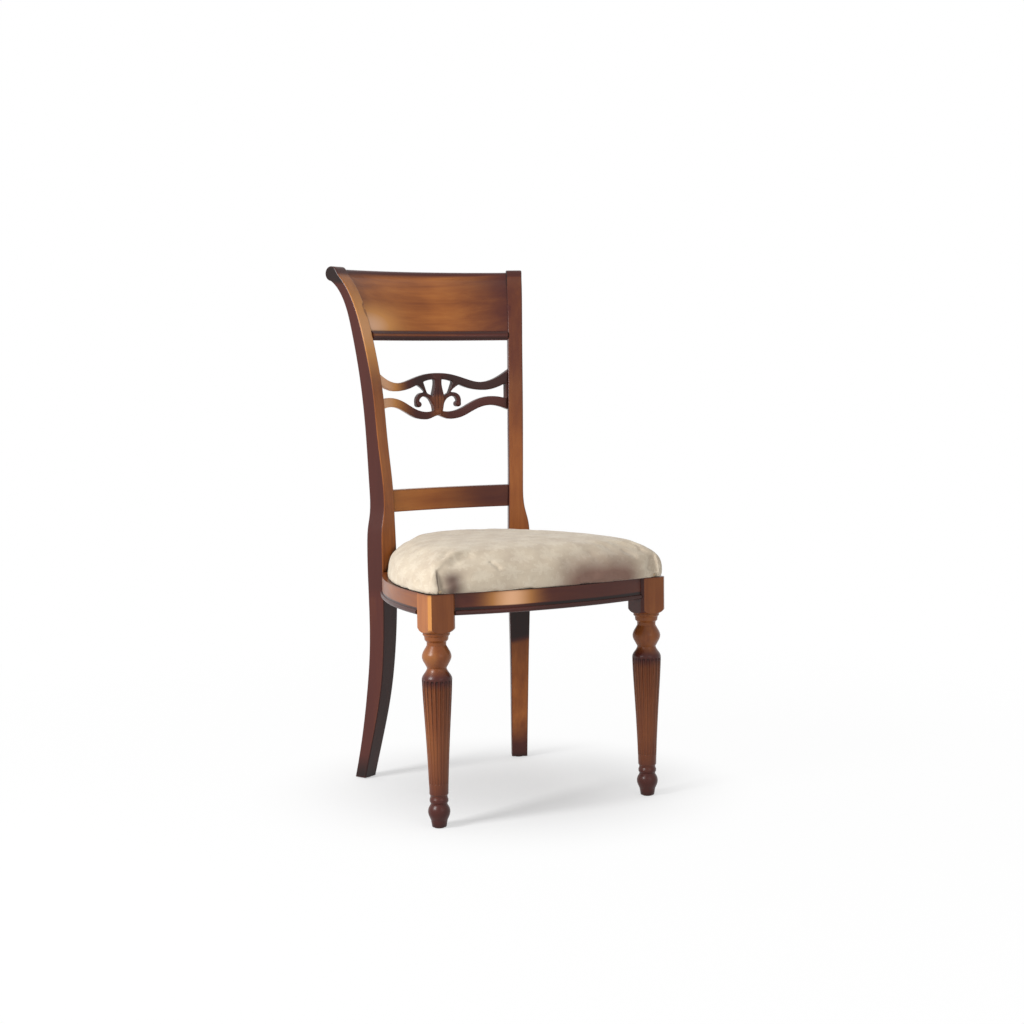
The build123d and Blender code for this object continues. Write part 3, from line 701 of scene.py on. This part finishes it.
# Dust cover
# A black non-woven cloth stapled under the seat, cut around the legs and posts. It hangs a little between
# its staples.
cloth_cell = 0.006
cloth_sag = 0.0015
sag_waves = 22
look_up_from = 0.01
edge_search = 0.7 * cloth_cell
dot_waves = 2100
under_low, under_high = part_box("dust_cover")
under = bpy.data.objects.new("dust_cloth", bpy.data.meshes.new("dust_cloth"))
bpy.context.scene.collection.objects.link(under)
pattern = joined_copy(["dust_cover"], "dust_pattern")

shape = bmesh.new()
half = max(under_high.x - under_low.x, under_high.y - under_low.y) / 2
middle = (under_low + under_high) / 2
cells = round(2 * half / cloth_cell)
bmesh.ops.create_grid(shape, x_segments=cells, y_segments=cells, size=half,
                      matrix=Matrix.Translation((middle.x, middle.y, under_low.z)))


def on_cloth(vert):
    """Whether a vertex lies within the cloth's outline."""
    return pattern.ray_cast(vert.co - Vector((0, 0, look_up_from)), Vector((0, 0, 1)))[0]


stray = [vert for vert in shape.verts if not on_cloth(vert)]
bmesh.ops.delete(shape, geom=stray, context="VERTS")
for vert in shape.verts:
    if vert.is_boundary:
        outside = vert.co + (vert.co - middle).normalized() * edge_search
        edge = pattern.closest_point_on_mesh(outside)[1]
        vert.co.x, vert.co.y = edge.x, edge.y
for vert in shape.verts:
    if not vert.is_boundary:
        wave = noise.noise(Vector((vert.co.x, vert.co.y, 0)) * sag_waves)
        vert.co.z -= cloth_sag * (0.3 + 0.5 * abs(wave))
bmesh.ops.reverse_faces(shape, faces=shape.faces)
cloth_area = sum(face.calc_area() for face in shape.faces)
shape.to_mesh(under.data)
shape.free()
bpy.data.objects.remove(pattern)


def black_cloth():
    """Non-woven cloth with rows of pressed dots."""
    made = Finish("black_non_woven")
    place = made.place()
    across, along = made.axes(place)[:2]
    dots = (across * dot_waves).math("SINE") * (along * dot_waves).math("SINE")
    dots = made.rise(dots, 0.2, 0.8)
    fibre = made.node("TexNoise", Vector=place, Scale=900.0, Detail=3.0)
    stops = ((0.3, (0.018, 0.018, 0.019)), (0.7, (0.045, 0.045, 0.047)))
    colour = made.node("ValToRGB", {"stops": stops}, Fac=fibre)
    relief = made.node("Bump", Strength=0.4, Distance=0.0004, Height=fibre - dots)
    made.set(Base_Color=colour, Roughness=0.9 - dots * 0.2, Normal=relief)
    return made.material


under.data.materials.append(black_cloth())
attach(under, "root")
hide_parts("dust_cover")

# Foot glides
# Moulded nylon buttons with a nail, one driven into each foot.


def nylon():
    """Brown moulded nylon, dulled by the floor."""
    made = Finish("brown_nylon")
    scuff = made.node("TexNoise", Vector=made.place(), Scale=500.0, Detail=4.0, Roughness=0.7)
    stops = ((0.3, (0.17, 0.13, 0.10)), (0.7, (0.28, 0.23, 0.18)))
    colour = made.node("ValToRGB", {"stops": stops}, Fac=scuff)
    made.set(Base_Color=colour, Roughness=0.4 + scuff * 0.3)
    return made.material


dress(["foot_glides"], nylon())

# Studio floor
# A pale floor that keeps a soft shadow near the chair and runs out into a white ground.
floor_half = 30
floor_grey = (0.85, 0.85, 0.85, 1)
pure_white = (1, 1, 1, 1)
shadow_middle = (0.0, -0.04, 0)
shadow_near, shadow_far = 0.05, 0.52
shadow_lift_near, shadow_lift_far = 0.1, 0.965
floor_mesh = bpy.data.meshes.new("floor")
shape = bmesh.new()
bmesh.ops.create_grid(shape, x_segments=1, y_segments=1, size=floor_half)
shape.to_mesh(floor_mesh)
shape.free()
floor = bpy.data.objects.new("floor", floor_mesh)
bpy.context.scene.collection.objects.link(floor)


def background_rays(tree):
    """1 for the rays that see the background: from the camera, off gloss and through glass."""
    path = tree.nodes.new("ShaderNodeLightPath")
    kinds = ("Is Camera Ray", "Is Glossy Ray", "Is Transmission Ray")
    seen, gloss, clear = [Wire(tree, path.outputs[kind]) for kind in kinds]
    return seen.math("MAXIMUM", gloss).math("MAXIMUM", clear)


ground = Finish("ground")
from_patch = ground.node("VectorMath", {"operation": "DISTANCE"}, 1, i0=ground.place(), i1=shadow_middle)
ground.set(Base_Color=floor_grey, Roughness=0.95)
white = ground.node("Emission", i0=pure_white, i1=1.0)
lift = ground.rise(from_patch, shadow_near, shadow_far) * (shadow_lift_far - shadow_lift_near)
lift = lift + ground.rise(from_patch, shadow_far, 4 * shadow_far) * (1 - shadow_lift_far)
lift = lift + shadow_lift_near
seen_floor = ground.node("MixShader", i0=lift * background_rays(ground.tree),
                         i1=Wire(ground.tree, ground.surface.outputs[0]), i2=white)
plug(ground.tree, ground.tree.nodes["Material Output"].inputs[0], seen_floor)
floor_mesh.materials.append(ground.material)

# Lamps
# A large soft key from the left, a weaker fill from the right of the camera, and an even white room.


def soft_light(name, place, aim, size, power):
    """Square soft lamp that points at a spot."""
    lamp = bpy.data.lights.new(name, "AREA")
    lamp.size = size
    lamp.energy = power
    holder = bpy.data.objects.new(name, lamp)
    holder.location = place
    holder.rotation_euler = (Vector(aim) - Vector(place)).to_track_quat("-Z", "Y").to_euler()
    bpy.context.scene.collection.objects.link(holder)


chair_middle = (0, 0, 0.5)
soft_light("key", (-2.6, -0.5, 1.9), chair_middle, 0.9, 78)
soft_light("fill", (0.2, -3.2, 1.6), chair_middle, 1.6, 9)

room_light = 0.5
world = bpy.data.worlds.new("studio")
world.use_nodes = True
bpy.context.scene.world = world
world_tree = world.node_tree
room = world_tree.nodes["Background"]
room.inputs["Color"].default_value = pure_white
room.inputs["Strength"].default_value = room_light
seen = world_tree.nodes.new("ShaderNodeBackground")
seen.inputs["Color"].default_value = pure_white
chosen = world_tree.nodes.new("ShaderNodeMixShader")
plug(world_tree, chosen.inputs[0], background_rays(world_tree))
world_tree.links.new(room.outputs[0], chosen.inputs[1])
world_tree.links.new(seen.outputs[0], chosen.inputs[2])
world_tree.links.new(chosen.outputs[0], world_tree.nodes["World Output"].inputs[0])
bpy.context.scene.view_settings.view_transform = "Standard"

# Camera
# Solved from the photograph, in metres and degrees in the chair's own frame.
camera_data = bpy.data.cameras.new("camera")
camera_data.sensor_width = 36
camera_data.lens = 59.396
camera = bpy.data.objects.new("camera", camera_data)
camera_yaw, camera_pitch, camera_roll = 28.8136, 4.5594, -0.7425
camera_place = Vector((-1.55223, -2.93970, 0.81065))
turned = Matrix.Rotation(math.radians(-camera_yaw), 4, "Z")
turned = turned @ Matrix.Rotation(math.radians(90 - camera_pitch), 4, "X")
turned = turned @ Matrix.Rotation(math.radians(camera_roll), 4, "Z")
camera.matrix_world = Matrix.Translation(camera_place) @ turned
bpy.context.scene.collection.objects.link(camera)
bpy.context.scene.camera = camera
